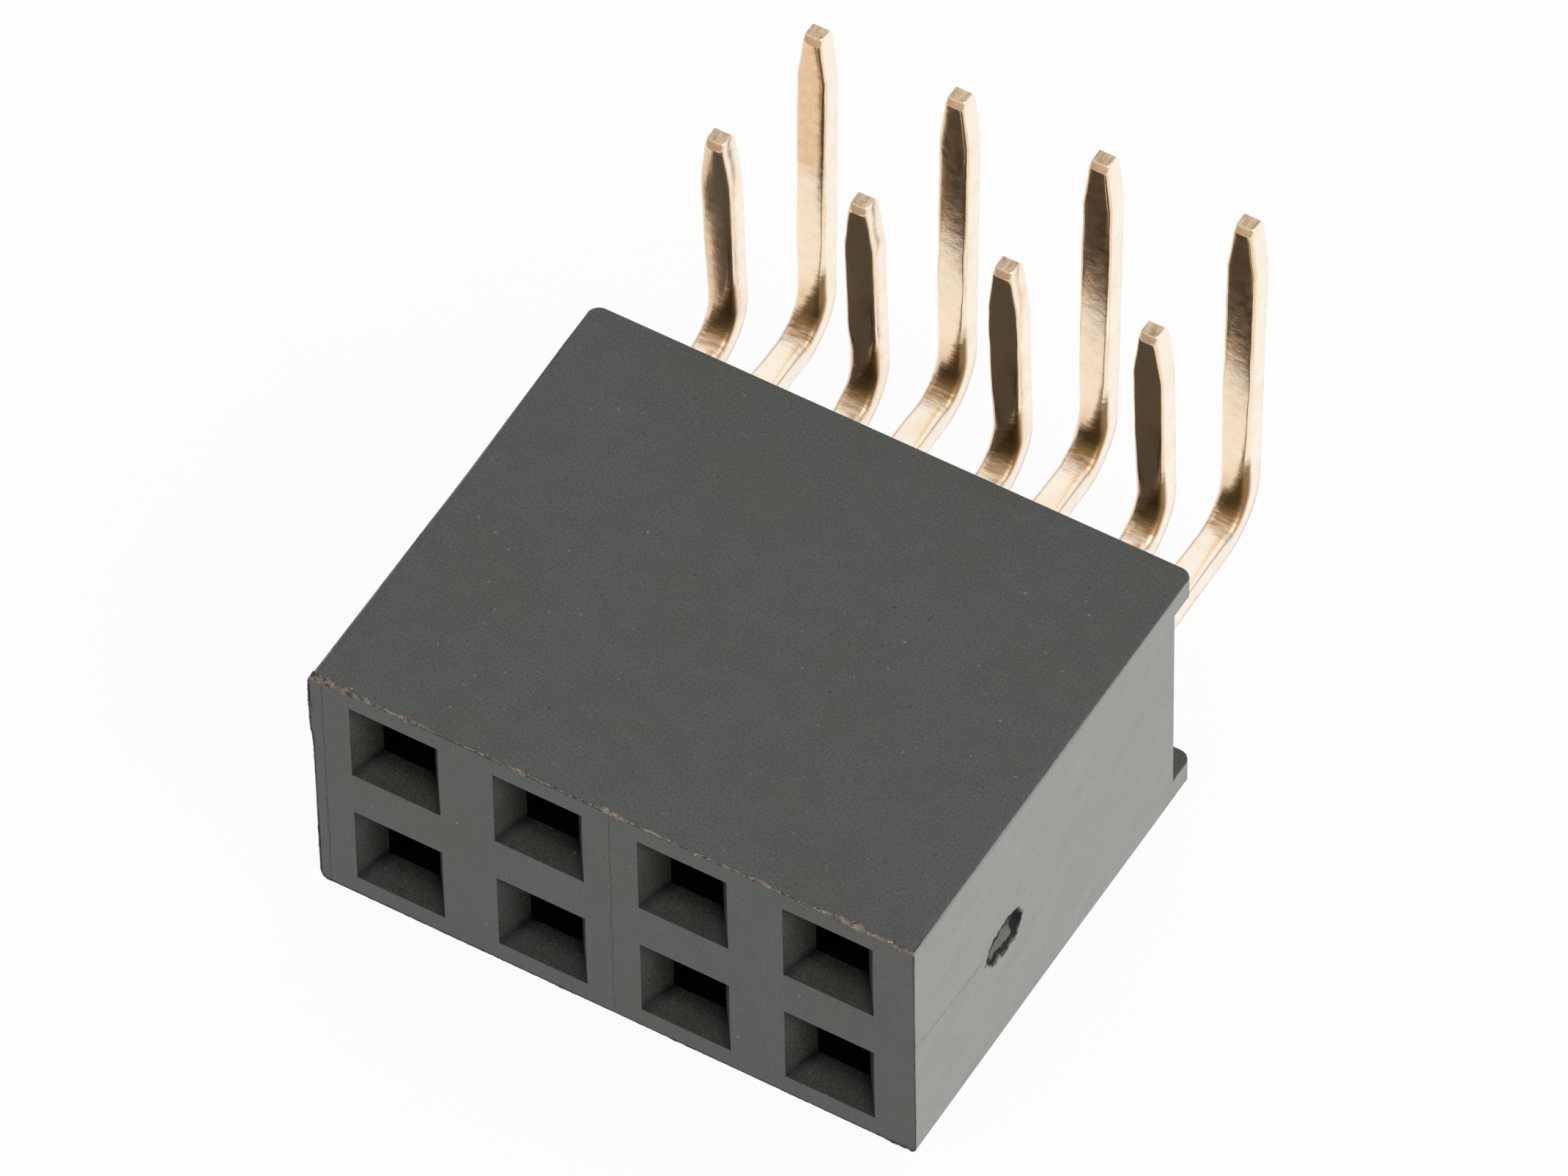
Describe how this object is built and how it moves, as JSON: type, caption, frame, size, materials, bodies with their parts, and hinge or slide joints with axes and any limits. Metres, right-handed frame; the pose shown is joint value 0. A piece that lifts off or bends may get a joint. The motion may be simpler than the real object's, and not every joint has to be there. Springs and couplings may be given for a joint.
{
  "type": "female pin header strip",
  "caption": "Right-angle two-row socket strip for square pins, with gold-plated stamped contacts whose tails are bent up for soldering.",
  "frame": {"origin": "centre of the housing's flat face that points away from the circuit board, on which the strip lies", "axes": "+X along the rows of sockets, +Y from the mating face to the back where the tails leave, +Z from the resting face to the board face and along the solder tails"},
  "size_m": [0.0106, 0.0129, 0.0085],
  "materials": {
    "moulding": "fine moulded grain, slightly satin",
    "contact_plating": "bright pale gold plating"
  },
  "bodies": {
    "root": {"housing": "moulding", "short_contact_1": "contact_plating", "short_contact_2": "contact_plating", "short_contact_3": "contact_plating", "short_contact_4": "contact_plating", "long_contact_1": "contact_plating", "long_contact_2": "contact_plating", "long_contact_3": "contact_plating", "long_contact_4": "contact_plating"}
  },
  "joints": []
}
